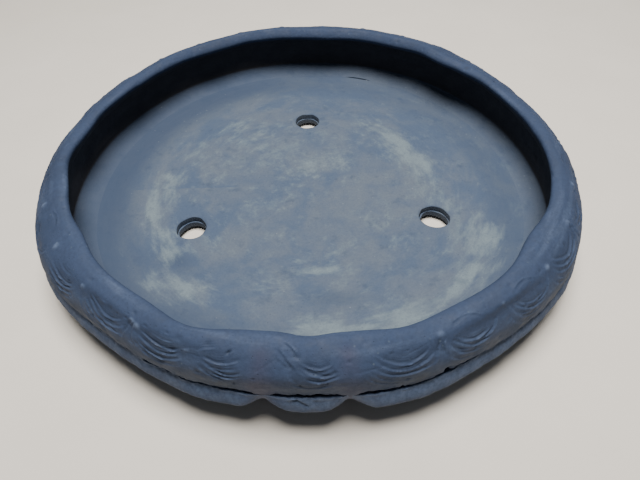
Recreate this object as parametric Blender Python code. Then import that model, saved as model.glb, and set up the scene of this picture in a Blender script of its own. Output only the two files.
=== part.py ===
"""A shallow round hand-built bonsai pot, as the clay members that are luted together to make it.

Metres, +Z up. The origin is the centre of the footprint, on the ground, and -Y is the front, where one
short skirt lobe sits between two notches. Joints between members are left open by JOINT.
"""

import math

import bmesh
import bpy

MM = 0.001

# Driving dimensions
WALL_RADIUS = 163.0 * MM  # widest line of the wall
SKIRT_RADIUS = 164.0 * MM  # widest line of the whole pot, out on the skirt
FLOOR_RADIUS = 138.0 * MM
FLOOR_UNDERSIDE = 2.5 * MM  # the floor hangs clear of the ground inside the foot
FLOOR_TOP = 10.0 * MM
INNER_RADIUS = 153.0 * MM  # inside of the wall, under the rim's overhang
COVE_RADIUS = 14.0 * MM  # fillet from the floor up to the wall
WIDEST_HEIGHT = 29.5 * MM  # height of the wall's widest line, a ledge over the skirt's groove
SHOULDER = 21.3 * MM  # radius of the roll from the widest line up to the crown of the rim
CROWN_TURN = 75.0  # direction on the roll, in degrees, where it turns into the rim's inner edge
LIP_NOSE = 4.8 * MM  # radius of the rim's inner edge, which leaves a mouth of 141 mm radius
LIP_NOSE_TURNS = (90.0, 225.0)  # directions, in degrees, between which the rim's inner edge is drawn
UNDERCUT = 2.5 * MM  # how far the inner face has leant in at the joint under the rim
JOINT = 0.3 * MM  # open joint between two members
JOINT_BASE_WALL = 16.0 * MM  # height of the joint over the base coil
JOINT_WALL_RIM = 38.0 * MM  # height of the joint under the rim coil

# Drain holes: (direction in degrees, distance from the centre)
HOLE_RADIUS = 9.0 * MM
DRAIN_HOLES = ((-153.1, 82.7 * MM), (-23.9, 85.8 * MM), (90.1, 74.9 * MM))

# Skirt: three short lobes, and a long lobe between each two
FRONT = -90.9  # direction of the front lobe, in degrees
LOBES = 3
SHORT_LOBE_SPAN = 15.0  # from notch to notch, in degrees
NOTCH_WIDTH = 1.6  # bare wall between two lobes, in degrees
LOBE_END = 4.0  # length over which a lobe tapers, in degrees
SKIRT_TOP = 25.3 * MM
SKIRT_BOTTOM = 13.0 * MM
WAIST_DEPTH = 5.6 * MM  # how far in the wall lies behind the skirt's widest line
BACK_EDGE = 0.2 * MM  # a lobe's back starts this far above its bottom
END_HEIGHT = 0.45  # height of a lobe's tip, as a share of the full section
END_THICKNESS = 0.35  # thickness of a lobe's tip, as a share of the full section

RING_STEPS = 72
SKIRT_STEP = 2.5  # degrees
HOLE_SIDES = 32
SHARP_ANGLE = 40.0  # edges sharper than this, in degrees, are shaded as edges

CLAY = (0.085, 0.100, 0.130)
FLOOR_CLAY = (0.170, 0.195, 0.220)


def clear_scene():
    for old in list(bpy.data.objects):
        bpy.data.objects.remove(old, do_unlink=True)


def clay(name, colour, roughness):
    material = bpy.data.materials.new(name)
    material.use_nodes = True
    shader = material.node_tree.nodes["Principled BSDF"]
    shader.inputs["Base Color"].default_value = (*colour, 1.0)
    shader.inputs["Roughness"].default_value = roughness
    shader.inputs["Metallic"].default_value = 0.0
    return material


def add_object(name, bm, material):
    """Makes the bmesh an object, its faces turned outwards and its round faces shaded smooth."""
    bmesh.ops.recalc_face_normals(bm, faces=bm.faces)
    mesh = bpy.data.meshes.new(name)
    bm.to_mesh(mesh)
    bm.free()
    mesh.shade_smooth()
    mesh.set_sharp_from_angle(angle=math.radians(SHARP_ANGLE))
    mesh.materials.append(material)
    obj = bpy.data.objects.new(name, mesh)
    bpy.context.scene.collection.objects.link(obj)
    return obj


def arc(centre, radius, start, end, steps):
    """Points (r, z) on an arc, its angles in degrees from +r towards +z."""
    angles = [math.radians(start + (end - start) * i / steps) for i in range(steps + 1)]
    return [(centre[0] + radius * math.cos(a), centre[1] + radius * math.sin(a)) for a in angles]


def turned(name, outline, material):
    """A ring: a closed outline of (r, z) points, spun about Z."""
    bm = bmesh.new()
    points = [bm.verts.new((r, 0.0, z)) for r, z in outline]
    edges = [bm.edges.new((a, b)) for a, b in zip(points, points[1:] + points[:1])]
    bmesh.ops.spin(
        bm, geom=points + edges, cent=(0, 0, 0), axis=(0, 0, 1),
        angle=math.tau, steps=RING_STEPS, use_merge=True,
    )
    return add_object(name, bm, material)


# The wall's outer face below its widest line, as (height, radius): foot, waist behind the skirt, groove
WALL_FACE = (
    (0.0, WALL_RADIUS - 13.0 * MM),
    (7.0 * MM, WALL_RADIUS - 9.5 * MM),
    (JOINT_BASE_WALL, WALL_RADIUS - 7.0 * MM),
    (SKIRT_TOP + JOINT, WALL_RADIUS - 4.0 * MM),
    (27.0 * MM, WALL_RADIUS - 1.4 * MM),
    (WIDEST_HEIGHT, WALL_RADIUS),
)


def wall_radius(height):
    """Radius of the wall's outer face at a height."""
    for (low, near), (high, far) in zip(WALL_FACE, WALL_FACE[1:]):
        if height <= high:
            return near + (far - near) * (height - low) / (high - low)
    return WALL_RADIUS


def wall_face(low, high):
    """Points (r, z) of the wall's outer face between two heights, both ends included."""
    between = [h for h, _ in WALL_FACE if low < h < high]
    return [(wall_radius(h), h) for h in (low, *between, high)]


def cove_turn(height):
    """Angle in degrees at which the cove reaches a height: -90 on the floor, 0 on the wall."""
    return math.degrees(math.asin((height - FLOOR_TOP - COVE_RADIUS) / COVE_RADIUS))


def base_coil(material):
    """The lowest coil. It is the foot too, and its inner face is the cove round the floor."""
    top = JOINT_BASE_WALL - JOINT / 2
    cove = arc((FLOOR_RADIUS, FLOOR_TOP + COVE_RADIUS), COVE_RADIUS, -90, cove_turn(top), 5)
    outline = [(FLOOR_RADIUS, 0.0)] + wall_face(0.0, top) + cove[::-1]
    return turned("base_coil", outline, material)


def shoulder_turn(height):
    """Angle in degrees at which the shoulder's roll reaches a height."""
    return math.degrees(math.asin((height - WIDEST_HEIGHT) / SHOULDER))


def shoulder(start, end, steps):
    """Part of the roll from the wall's widest line up to the rim's crown."""
    return arc((WALL_RADIUS - SHOULDER, WIDEST_HEIGHT), SHOULDER, start, end, steps)


def wall_coil(material):
    """The coil that makes the belly of the wall, between the base coil and the rim."""
    low = JOINT_BASE_WALL + JOINT / 2
    high = JOINT_WALL_RIM - JOINT / 2
    outside = wall_face(low, WIDEST_HEIGHT) + shoulder(0, shoulder_turn(high), 3)[1:]
    cove = arc((FLOOR_RADIUS, FLOOR_TOP + COVE_RADIUS), COVE_RADIUS, cove_turn(low), 0, 3)
    under_rim = [(INNER_RADIUS, WIDEST_HEIGHT), (INNER_RADIUS - UNDERCUT, high)]
    return turned("wall_coil", outside + under_rim[::-1] + cove[::-1], material)


def rim_coil(material):
    """The rim: it rolls over from the wall to the crown and leans in over the mouth."""
    low = JOINT_WALL_RIM + JOINT / 2
    outside = shoulder(shoulder_turn(low), CROWN_TURN, 6)
    to_nose = SHOULDER - LIP_NOSE
    crown = math.radians(CROWN_TURN)
    nose_centre = (WALL_RADIUS - SHOULDER + to_nose * math.cos(crown), WIDEST_HEIGHT + to_nose * math.sin(crown))
    nose = arc(nose_centre, LIP_NOSE, *LIP_NOSE_TURNS, 6)
    return turned("rim_coil", [*outside, *nose, (INNER_RADIUS - UNDERCUT, low)], material)


def floor_layer(name, low, high, material):
    """One rolled layer of the floor, with the three drain holes cut through it."""
    bm = bmesh.new()
    bmesh.ops.create_cone(
        bm, cap_ends=True, segments=RING_STEPS, radius1=FLOOR_RADIUS - JOINT,
        radius2=FLOOR_RADIUS - JOINT, depth=high - low,
    )
    layer = add_object(name, bm, material)
    layer.location.z = (low + high) / 2
    for number, (direction, distance) in enumerate(DRAIN_HOLES):
        bm = bmesh.new()
        bmesh.ops.create_cone(
            bm, cap_ends=True, segments=HOLE_SIDES, radius1=HOLE_RADIUS,
            radius2=HOLE_RADIUS, depth=4 * (high - low),
        )
        cutter = add_object(f"{name}_drill_{number}", bm, material)
        angle = math.radians(direction)
        cutter.location = (distance * math.cos(angle), distance * math.sin(angle), (low + high) / 2)
        cutter.hide_render = True
        cutter.display_type = "WIRE"
        cut = layer.modifiers.new(f"drain_{number}", "BOOLEAN")
        cut.operation = "DIFFERENCE"
        cut.object = cutter
    return layer


# A lobe's full section, as (height above its bottom, thickness over the wall), up the outside
SKIRT_FACE = (
    (0.0, 2.2 * MM),
    (1.0 * MM, 5.4 * MM),
    (3.5 * MM, 7.2 * MM),
    (6.5 * MM, SKIRT_RADIUS - WALL_RADIUS + WAIST_DEPTH),
    (9.5 * MM, 4.6 * MM),
    (11.3 * MM, 2.6 * MM),
    (12.3 * MM, 0.9 * MM),
)


def skirt_section(share):
    """Points (r, z) round a lobe's section: up its face, then down its back along the wall."""
    height_share = END_HEIGHT + (1 - END_HEIGHT) * share
    thick_share = END_THICKNESS + (1 - END_THICKNESS) * share
    full_height = SKIRT_TOP - SKIRT_BOTTOM
    bottom = SKIRT_TOP - full_height * height_share
    face = []
    for height, thickness in SKIRT_FACE:
        z = bottom + height * height_share
        face.append((wall_radius(z) + JOINT + thickness * thick_share, z))
    back = [(wall_radius(z) + JOINT, z) for z in (SKIRT_TOP, (SKIRT_TOP + bottom) / 2, bottom + BACK_EDGE)]
    return face + back


def skirt_lobe(name, start, end, material):
    """One applied lobe of the skirt, from one direction to another, tapering at both tips."""
    steps = max(4, round((end - start) / SKIRT_STEP))
    bm = bmesh.new()
    sections = []
    for i in range(steps + 1):
        direction = start + (end - start) * i / steps
        in_from_tip = min(direction - start, end - direction, LOBE_END) / LOBE_END
        share = math.sin(in_from_tip * math.pi / 2)
        angle = math.radians(direction)
        section = skirt_section(share)
        sections.append([bm.verts.new((r * math.cos(angle), r * math.sin(angle), z)) for r, z in section])
    for here, there in zip(sections, sections[1:]):
        for i in range(len(here)):
            j = (i + 1) % len(here)
            bm.faces.new((here[i], here[j], there[j], there[i]))
    bm.faces.new(sections[0])
    bm.faces.new(sections[-1])
    return add_object(name, bm, material)


def skirt(material):
    """Short lobes at the front and at the two back corners, and long lobes between them."""
    turn = 360.0 / LOBES
    half = SHORT_LOBE_SPAN / 2
    trim = NOTCH_WIDTH / 2
    short_names = ("skirt_lobe_front", "skirt_lobe_right", "skirt_lobe_left")
    long_names = ("skirt_band_right", "skirt_band_back", "skirt_band_left")
    for i in range(LOBES):
        centre = FRONT + i * turn
        skirt_lobe(short_names[i], centre - half + trim, centre + half - trim, material)
        skirt_lobe(long_names[i], centre + half + trim, centre + turn - half - trim, material)


def main():
    clear_scene()
    body = clay("grey_clay", CLAY, 0.75)
    inside = clay("worn_floor_clay", FLOOR_CLAY, 0.85)
    middle = (FLOOR_UNDERSIDE + FLOOR_TOP) / 2
    floor_layer("floor_lower_layer", FLOOR_UNDERSIDE, middle - JOINT / 2, inside)
    floor_layer("floor_upper_layer", middle + JOINT / 2, FLOOR_TOP, inside)
    base_coil(body)
    wall_coil(body)
    rim_coil(body)
    skirt(body)


main()
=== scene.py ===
"""The looks of a shallow, round, hand-built bonsai pot of unglazed slate-blue clay.

The frame is in metres. Inside the shaping functions, lengths are in millimetres and directions in degrees,
with -90 at the front.
"""

import math

import bpy
import numpy as np
from mathutils import Matrix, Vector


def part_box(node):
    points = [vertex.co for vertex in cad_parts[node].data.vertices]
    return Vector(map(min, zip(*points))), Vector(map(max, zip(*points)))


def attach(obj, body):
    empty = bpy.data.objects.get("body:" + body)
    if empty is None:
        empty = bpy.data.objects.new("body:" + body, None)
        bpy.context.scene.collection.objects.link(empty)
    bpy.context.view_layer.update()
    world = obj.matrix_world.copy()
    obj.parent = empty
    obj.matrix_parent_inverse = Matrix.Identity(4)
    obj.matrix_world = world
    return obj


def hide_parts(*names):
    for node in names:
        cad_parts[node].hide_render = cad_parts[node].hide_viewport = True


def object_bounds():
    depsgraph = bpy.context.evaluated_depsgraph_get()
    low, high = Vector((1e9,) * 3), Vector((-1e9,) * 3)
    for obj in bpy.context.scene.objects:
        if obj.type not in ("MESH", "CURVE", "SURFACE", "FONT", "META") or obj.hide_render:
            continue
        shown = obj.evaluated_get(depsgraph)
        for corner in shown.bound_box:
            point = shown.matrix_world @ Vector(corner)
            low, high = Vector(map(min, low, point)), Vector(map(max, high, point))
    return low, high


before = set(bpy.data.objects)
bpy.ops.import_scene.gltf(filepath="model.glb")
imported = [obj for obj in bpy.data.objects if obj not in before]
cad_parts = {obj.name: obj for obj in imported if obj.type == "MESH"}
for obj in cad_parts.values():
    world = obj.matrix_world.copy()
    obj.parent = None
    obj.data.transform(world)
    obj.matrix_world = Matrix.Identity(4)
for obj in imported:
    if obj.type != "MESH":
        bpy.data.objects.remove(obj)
CAD_LOW, CAD_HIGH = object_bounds()

MM = 0.001


def corner(node, high, axis):
    """One coordinate of a CAD node's box, in millimetres."""
    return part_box(node)[1 if high else 0][axis] / MM


# Sizes that come from the CAD part
WALL = corner("wall_coil", True, 0)  # radius of the widest line of the wall
SKIRT = max(-CAD_LOW.x, CAD_HIGH.x) / MM  # radius of the skirt
FLOOR_TOP = corner("floor_upper_layer", True, 2)
FLOOR_UNDERSIDE = corner("floor_lower_layer", False, 2)
LAYER_JOINT = (corner("floor_lower_layer", True, 2) + corner("floor_upper_layer", False, 2)) / 2
FLOOR = corner("floor_upper_layer", True, 0)
LOW_JOINT = (corner("base_coil", True, 2) + corner("wall_coil", False, 2)) / 2
HIGH_JOINT = (corner("wall_coil", True, 2) + corner("rim_coil", False, 2)) / 2
SKIRT_TOP = corner("skirt_band_back", True, 2)
SKIRT_BOTTOM = corner("skirt_band_back", False, 2)

# Shape of the wall, as the CAD part has it
ROLL = 21.3  # radius of the roll from the widest line up to the crown
WIDEST = 29.5  # height of the widest line
CROWN = 75.0  # direction on the roll where the nose of the lip begins
LIP_ARCS = ((8.0, 110.0), (2.2, 232.0))  # (radius, direction where it ends), from the crown round the lip
CREASE = (150.3, 17.6)  # (radius, height) where the floor's edge meets the wall in a crisp line
DISH = 116.0  # the floor begins to rise at this radius
HOLES = ((-153.1, 82.7), (-23.9, 85.8), (90.1, 74.9))  # (direction, distance from the centre)
HOLE = 9.0  # radius of a drain hole

# The skirt
FRONT = -90.8  # direction of the front lobe's middle
TIP_BOTTOM = 19.4  # height of a lobe's lower edge at its tip
TIP_REACH = 4.6  # length over which a lobe rounds off to its tip, in degrees
NOTCH_SHIFT = 6.9  # from the middle of a short lobe to its notches
MIDDLES = (FRONT, FRONT + 120, FRONT + 240)  # of the short lobes
NOTCHES = [middle + side * NOTCH_SHIFT for middle in MIDDLES for side in (-1, 1)]

TUCK = 2.9  # at the front, the ledge over the groove sits this far in from the CAD part's widest line
TUCK_AT = -86  # direction where it is tucked in most
PER_DEGREE = 2.76  # length of one degree on the shoulder
AROUND = 2.8  # the same for the noise that runs round the skirt and the ledge
BREAK_AT = -67.9  # direction of the piece broken out of the ledge
# Crumbs of clay on the ledge: (direction, mm up, size)
CRUMBS = ((-110.4, -2.2, 1.5), (-108.9, -3.6, 1.7), (-127.0, -3.0, 1.4), (-70.0, -3.6, 1.2))
STRIPS = (-83.8, -97.6)  # directions of two upright strips of warmer, fuller clay
PIT = (-102.8, 22.0)  # (direction, mm up the roll) of a comma-shaped pit
INNER_CRACK = (71.5, 12.2)  # (direction, height) of a short crack on the cove at the back
LOBE_CRACK = -91.9  # direction of the crack in the front lobe


def smooth(x):
    x = np.clip(x, 0.0, 1.0)
    return x * x * (3 - 2 * x)


def turn_from(theta, centre):
    """Signed degrees from centre to theta."""
    return (theta - centre + 180.0) % 360.0 - 180.0


def bell(x, width):
    return np.exp(-((x / width) ** 2))


def lattice(cell, seed):
    n = (cell[0] * 374761393 + cell[1] * 668265263 + cell[2] * 1442695041 + seed * 1274126177) & 0xFFFFFFFF
    n = ((n ^ (n >> 13)) * 1274126177) & 0xFFFFFFFF
    return ((n ^ (n >> 16)) & 0xFFFF) / 32767.5 - 1.0


def noise(x, y, z, size, seed=0):
    """Smooth value noise from -1 to 1, its lumps about as wide as size."""
    axes = [np.asarray(a, float) / size + 100.0 for a in np.broadcast_arrays(x, y, z)]
    cells = [np.floor(a).astype(np.int64) for a in axes]
    parts = [smooth(a - c) for a, c in zip(axes, cells)]
    total = 0.0
    for i in (0, 1):
        for j in (0, 1):
            for k in (0, 1):
                weight = 1.0
                for step, part in zip((i, j, k), parts):
                    weight = weight * (part if step else 1 - part)
                total = total + weight * lattice((cells[0] + i, cells[1] + j, cells[2] + k), seed)
    return total


# The plan: an uneven round, (lobes, size, direction of one bulge)
SWAY = ((2, 2.2, -57.0), (3, 1.5, 83.5), (4, 0.7, 41.0))
# Where hands pushed the lip: (direction, reach in degrees, how far out)
LIP_PUSHES = (
    (-176, 8, 3.6), (-146, 6, -1.8), (-111, 7.5, 4.9), (-90, 3.5, 1.8), (-73, 6, 2.2), (-39, 7, -3.6),
    (-8, 19, 2.9), (41, 9, -4.8), (60, 9, -2.6), (86, 9, -3.4), (110, 7, 2.3), (129, 6, 1.8),
    (150, 6, -1.0), (167, 7, 1.4),
)
# Where the belly and the skirt stand out or in: (direction, reach, how far out)
BELLY_PUSHES = ((-56, 14, -3.8), (-128, 12, -3.2), (-152, 10, 1.4), (-8, 14, 0.5), (90, 60, 2.4))
BACK_RISE = 2.0  # the rim stands this much higher at the back, in mm
BACK_DROOP = 3.0  # and its inner edge hangs this much lower there


def pushed(theta, pushes):
    return sum(out * bell(turn_from(theta, at), reach) for at, reach, out in pushes)


def at_back(theta):
    return smooth((75 - np.abs(turn_from(theta, 90))) / 50)


def sway(theta):
    return sum(size * np.cos(np.radians(n * (theta - at))) for n, size, at in SWAY)


def uneven(theta, r, z, nose=0.0, tip=0.0):
    """Moves a radius and height of the true-round pot to the real one. nose and tip are 1 on the lip."""
    far = smooth((r - 55) / 85)
    outside = smooth((r - 150) / 8)
    wider = 0.6 + 0.6 * np.sin(np.radians(theta)) + pushed(theta, BELLY_PUSHES)
    r = r + far * sway(theta) + outside * wider + nose * pushed(theta, LIP_PUSHES)
    high = smooth((z - 30) / 16)
    lift = 0.55 * np.cos(np.radians(3 * (theta + 60))) + 0.35 * np.cos(np.radians(7 * theta + 40))
    lift = lift + 0.3 * noise(theta * 2.7, 0, 0, 17, 3)
    lift = lift - 0.2 - 0.5 * bell(turn_from(theta, -90), 55)
    lift = lift + at_back(theta) * (BACK_RISE - BACK_DROOP * tip)
    return r, z + high * lift


# ---- The wall's outside ----

# (height, how far out from the widest line), behind a lobe of the skirt and at a notch
FACE_LOBED = (
    (0, -13.4), (1.2, -12.6), (7, -9.5), (16, -7.2), (22, -5.6), (25.3, -4.6), (27, -3.2), (28.0, -1.1),
    (28.8, -0.25), (29.5, 0),
)
FACE_BARE = (
    (0, -13.4), (1.2, -12.6), (7, -10.5), (15, -7.6), (18.4, -4.6), (19.6, -2.4), (20.6, -1.4),
    (22.5, -0.6), (25.3, -0.1), (29.5, 0),
)


def from_notch(theta):
    """Degrees to the nearest notch of the skirt."""
    return np.min([np.abs(turn_from(theta, notch)) for notch in NOTCHES], axis=0)


def bare(theta):
    """1 at a notch of the skirt, where the wall runs down smoothly, and 0 where the groove is."""
    ragged = 0.35 * noise(theta * 3, 0, 0, 2.5, 8)
    return 1 - smooth((from_notch(theta) + ragged - 1.25) / 1.7)


def face(z, theta):
    """Radius of the outer wall below the widest line."""
    lobed = np.interp(z, *zip(*FACE_LOBED))
    plain = np.interp(z, *zip(*FACE_BARE))
    return WALL + lobed + (plain - lobed) * bare(theta)


def tucked(theta):
    """How far in the belly sits, in mm: it leans in at the front and is full at the back."""
    off = turn_from(theta, TUCK_AT)
    return TUCK * (0.07 + 0.93 * bell(off, np.where(off > 0, 20, 30)))


def outer_profile(s, theta):
    """(radius, height) at s outside: mm of arc over the widest line, or minus mm of height under it."""
    crown = np.radians(CROWN)
    low = s < 0
    z_low = WIDEST + np.minimum(s, 0)
    up = np.maximum(s, 0)
    on_roll = np.minimum(up / ROLL, crown)
    r = WALL - ROLL + ROLL * np.cos(on_roll)
    z = WIDEST + ROLL * np.sin(on_roll)
    left, direction = up - ROLL * crown, CROWN
    for radius, end in LIP_ARCS:
        first, last = math.radians(direction), math.radians(end)
        turn = np.clip(left / radius, 0, last - first)
        r = r + radius * (np.cos(first + turn) - math.cos(first))
        z = z + radius * (np.sin(first + turn) - math.sin(first))
        left, direction = left - radius * (last - first), end
    tuck = tucked(theta)
    r = r - tuck * smooth((15 - up) / 15)
    return np.where(low, face(z_low, theta) - tuck, r), np.where(low, z_low, z)


NOSE_START_S = ROLL * math.radians(CROWN)
NOSE_END_S = NOSE_START_S + sum(
    radius * math.radians(end - start) for (radius, end), start in zip(LIP_ARCS, (CROWN, LIP_ARCS[0][1]))
)
JOINT_S = ROLL * math.asin((HIGH_JOINT - WIDEST) / ROLL)


def dish(r):
    """How far the floor has risen at a radius, in mm: it curves up to the crease."""
    return (CREASE[1] - FLOOR_TOP) * (np.maximum(r - DISH, 0) / (CREASE[0] - DISH)) ** 2


# (radius, height) down the inside, from under the lip to just above the crease
INSIDE = (
    (143.6, 43.6), (145.8, 41.2), (147.6, 39.4), (148.6, HIGH_JOINT), (149.4, 34.0), (150.0, WIDEST),
    (150.4, 24.0), (150.6, 20.5), (150.5, 18.4),
)


def inner_points():
    """The inside face from the nose's end down to the floor, as (radius, height)."""
    r, z = outer_profile(np.array([NOSE_END_S]), np.zeros(1))
    points = [(float(r[0]), float(z[0])), *INSIDE]
    for r in np.linspace(CREASE[0], FLOOR, 16):
        points.append((float(r), FLOOR_TOP + float(dish(r))))
    return np.array(points)


INNER = inner_points()
INNER_S = np.concatenate(([0], np.cumsum(np.hypot(*np.diff(INNER, axis=0).T))))
INNER_JOINT_S = float(np.interp(-HIGH_JOINT, -INNER[:, 1], INNER_S))
INNER_LOW_S = float(np.interp(-LOW_JOINT, -INNER[:, 1], INNER_S))


def inner_profile(s, theta):
    return np.interp(s, INNER_S, INNER[:, 0]) + 0 * theta, np.interp(s, INNER_S, INNER[:, 1]) + 0 * theta


# ---- Carving on the shoulder. A place is (degrees, mm up the roll from the widest line) ----

# (start, middle, end, depth, softness of its upper side, height of the burr thrown up below it)
WAVE_FRONT = (
    ((-2.7, 21.0), (0.1, 17.7), (2.1, 20.6), 0.75, 1.9, 0.40),
    ((-3.1, 19.4), (0.5, 14.1), (3.0, 16.4), 0.85, 1.7, 0.40),
    ((-2.2, 13.4), (0.4, 11.0), (3.4, 15.0), 0.7, 1.6, 0.36),
    ((-4.3, 11.2), (-1.6, 5.9), (2.9, 9.8), 0.5, 1.9, 0.22),
    ((-3.2, 21.7), (-4.2, 26.4), (-6.0, 28.4), 0.8, 1.3, 0.5),
    ((-3.3, 16.0), (-5.0, 21.0), (-6.1, 25.2), 0.75, 1.5, 0.42),
    ((-4.4, 17.5), (-5.9, 20.0), (-6.8, 23.5), 0.35, 1.2, 0.2),
    ((-3.4, 18.0), (-0.6, 15.0), (2.8, 18.6), 0.25, 0.8, 0.3),
    ((-3.6, 17.6), (-4.2, 13.2), (-3.0, 9.6), 0.35, 1.0, 0.26),
)
WAVE_LEFT = (
    ((-4.2, 18.8), (-1.2, 16.3), (2.2, 19.9), 0.65, 1.7, 0.40),
    ((-3.8, 15.9), (-0.3, 11.0), (2.6, 14.2), 0.8, 1.7, 0.38),
    ((-3.0, 11.8), (-0.3, 9.0), (2.7, 12.2), 0.6, 1.4, 0.34),
    ((-4.8, 14.0), (-2.8, 8.9), (0.2, 6.4), 0.5, 1.8, 0.22),
    ((-5.2, 19.6), (-4.0, 22.4), (-1.8, 23.6), 0.3, 1.4, 0.14),
    ((-4.6, 16.8), (-1.6, 13.2), (2.0, 15.4), 0.3, 0.8, 0.30),
)
WAVE_FAN = (
    ((-4.6, 19.2), (0.1, 15.7), (3.8, 17.6), 0.7, 1.6, 0.42),
    ((-4.7, 16.4), (0.1, 12.4), (4.2, 16.9), 0.85, 1.5, 0.40),
    ((-4.7, 13.3), (-0.4, 9.0), (4.6, 14.2), 0.75, 1.4, 0.36),
    ((-4.3, 9.8), (-0.3, 5.6), (4.2, 9.8), 0.55, 1.8, 0.24),
    ((-2.8, 22.0), (0.2, 20.2), (2.8, 22.0), 0.3, 1.6, 0.16),
    ((-3.0, 14.6), (0.8, 14.2), (3.9, 19.4), 0.3, 0.8, 0.32),
    ((-4.9, 11.4), (-1.2, 7.4), (3.0, 7.6), 0.3, 0.9, 0.26),
)
WAVE_DEEP = (
    ((-5.0, 23.4), (0.2, 14.9), (4.6, 20.6), 0.7, 1.9, 0.38),
    ((-5.4, 21.2), (0.0, 11.5), (5.6, 17.6), 0.7, 1.7, 0.34),
    ((-5.8, 19.0), (-1.2, 9.2), (5.4, 11.4), 0.6, 1.6, 0.28),
    ((-5.2, 13.6), (-2.6, 6.6), (1.4, 4.8), 0.4, 1.8, 0.18),
    ((5.0, 13.0), (5.7, 17.6), (6.5, 22.4), 0.6, 1.3, 0.30),
    ((7.6, 7.6), (6.6, 14.8), (6.9, 21.6), 0.6, 1.3, 0.30),
    ((-6.6, 15.6), (-4.4, 6.4), (0.4, 2.6), 0.3, 1.0, 0.26),
    ((-1.8, 13.6), (0.6, 12.6), (3.4, 14.0), 0.25, 0.8, 0.34),
    ((4.2, 8.4), (5.0, 12.4), (6.2, 21.0), 0.35, 0.9, 0.24),
)
WAVE_RING = (
    ((-3.6, 19.4), (-0.4, 12.7), (3.2, 14.2), 0.6, 1.8, 0.32),
    ((-4.6, 20.0), (-0.8, 9.9), (3.4, 10.2), 0.65, 1.6, 0.32),
    ((-5.0, 17.0), (-2.2, 7.7), (2.2, 5.8), 0.5, 1.6, 0.24),
    ((0.9, 10.4), (3.8, 12.9), (4.7, 19.0), 0.5, 1.4, 0.36),
    ((-5.4, 22.6), (-3.6, 12.0), (0.6, 8.2), 0.3, 0.9, 0.30),
    ((-5.6, 14.0), (-3.2, 5.4), (1.6, 3.6), 0.3, 1.0, 0.24),
    ((2.5, 21.2), (-0.2, 26.4), (-3.7, 24.8), 0.4, 1.6, 0.26),
)
# (degrees, mm up, half width in degrees, half height, depth): the spooned field over a wave
FIELDS = {
    "front": ((-0.2, 23.6, 3.3, 7.0, 0.55), (-4.6, 19.5, 1.6, 6.0, 0.3)),
    "left": ((-1.0, 20.8, 4.0, 6.0, 0.35),),
    "fan": ((-0.2, 19.0, 5.0, 5.4, 0.25), (0.0, 11.0, 5.4, 8.0, 0.3)),
    "deep": ((-0.3, 21.4, 5.4, 8.4, 0.65),),
    "ring": ((-0.2, 18.0, 4.3, 7.6, 0.5),),
}
STROKES = {"front": WAVE_FRONT, "left": WAVE_LEFT, "fan": WAVE_FAN, "deep": WAVE_DEEP, "ring": WAVE_RING}
# Waves in view from the front: (direction, kind)
SEEN_WAVES = ((-114.8, "fan"), (-102.9, "left"), (-88.6, "front"), (-75.2, "deep"), (-62.8, "ring"))
OTHER_WAVES = 23
DRAG_SPACING = 1.25  # mm between the fine lines that the tool's edge drags along a pull
DRAG_DEPTH = 0.10
BOWL = 0.4  # share of the spooned fields' depth that is kept
PINHOLES = 330
BACK_DENTS = 12
SCRATCHES = 70
KNOBS = (  # (direction, mm up, radius, height)
    (-119.9, 19.6, 2.1, 0.5), (-109.8, 18.6, 1.7, 0.4), (-68.6, 23.8, 2.0, 0.35), (-91.9, 21.3, 0.9, 0.3),
    (-104.9, 4.6, 1.6, 0.35), (-128.6, 20.6, 1.6, 0.45), (-56.2, 22.6, 1.4, 0.35),
)


def cut(relief, theta, v, centre, points, depth, soft, burr, wobble=0):
    """One pull of the tool. It is deepest along the path, soft to its left, with a burr along its right."""
    ends = [np.array((a * PER_DEGREE, h)) for a, h in points]
    bend = 2 * ends[1] - (ends[0] + ends[2]) / 2
    share = np.linspace(0, 1, 17)[:, None]
    path = (1 - share) ** 2 * ends[0] + 2 * share * (1 - share) * bend + share**2 * ends[2]
    u = turn_from(theta, centre) * PER_DEGREE
    reach = 7.0
    near = (u > path[:, 0].min() - reach) & (u < path[:, 0].max() + reach)
    near &= (v > path[:, 1].min() - reach) & (v < path[:, 1].max() + reach)
    q = np.stack((u[near], v[near]), -1)
    shake = [noise(*q.T, wobble, size, seed) for size, seed in ((2.3, 5), (2.1, 6))]
    q = q + 0.16 * np.stack(shake, -1)
    best = np.full(len(q), 1e9)
    side = np.zeros(len(q))
    along = np.zeros(len(q))
    for i, (a, b) in enumerate(zip(path, path[1:])):
        step = b - a
        t = np.clip((q - a) @ step / (step @ step), 0, 1)
        off = q - (a + t[:, None] * step)
        distance = np.hypot(*off.T)
        closer = distance < best
        best = np.where(closer, distance, best)
        side = np.where(closer, np.sign(step[0] * off[:, 1] - step[1] * off[:, 0]), side)
        along = np.where(closer, (i + t) / (len(path) - 1), along)
    signed = best * side
    edge = 0.6
    fade = smooth(np.minimum(along, 1 - along) / 0.22 + 0.04)
    strength = fade * (0.78 + 0.42 * noise(along * 9, wobble, depth * 40, 1.7, 9))
    groove = np.where(signed >= 0, np.exp(-signed / soft), smooth(1 + signed / edge))
    crest = 0.85 * bell(signed + edge + 0.25, 0.38)
    phase = signed / DRAG_SPACING + 0.35 * noise(q[:, 0], q[:, 1], wobble, 6, 7)
    drag = DRAG_DEPTH * np.cos(math.tau * phase) * bell(signed - 1.2, 2.6)
    relief[near] += strength * (burr * crest - depth * groove + drag)


def spoon(relief, theta, v, at, height, half_width, half_height, depth):
    """A shallow oval hollow, deeper in its lower half."""
    far = (turn_from(theta, at) / half_width) ** 2 + ((v - height) / half_height) ** 2
    relief -= depth * np.clip(1 - far, 0, 1) ** 2 * (1 + 0.6 * np.clip((height - v) / half_height, -1, 1))


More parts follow.
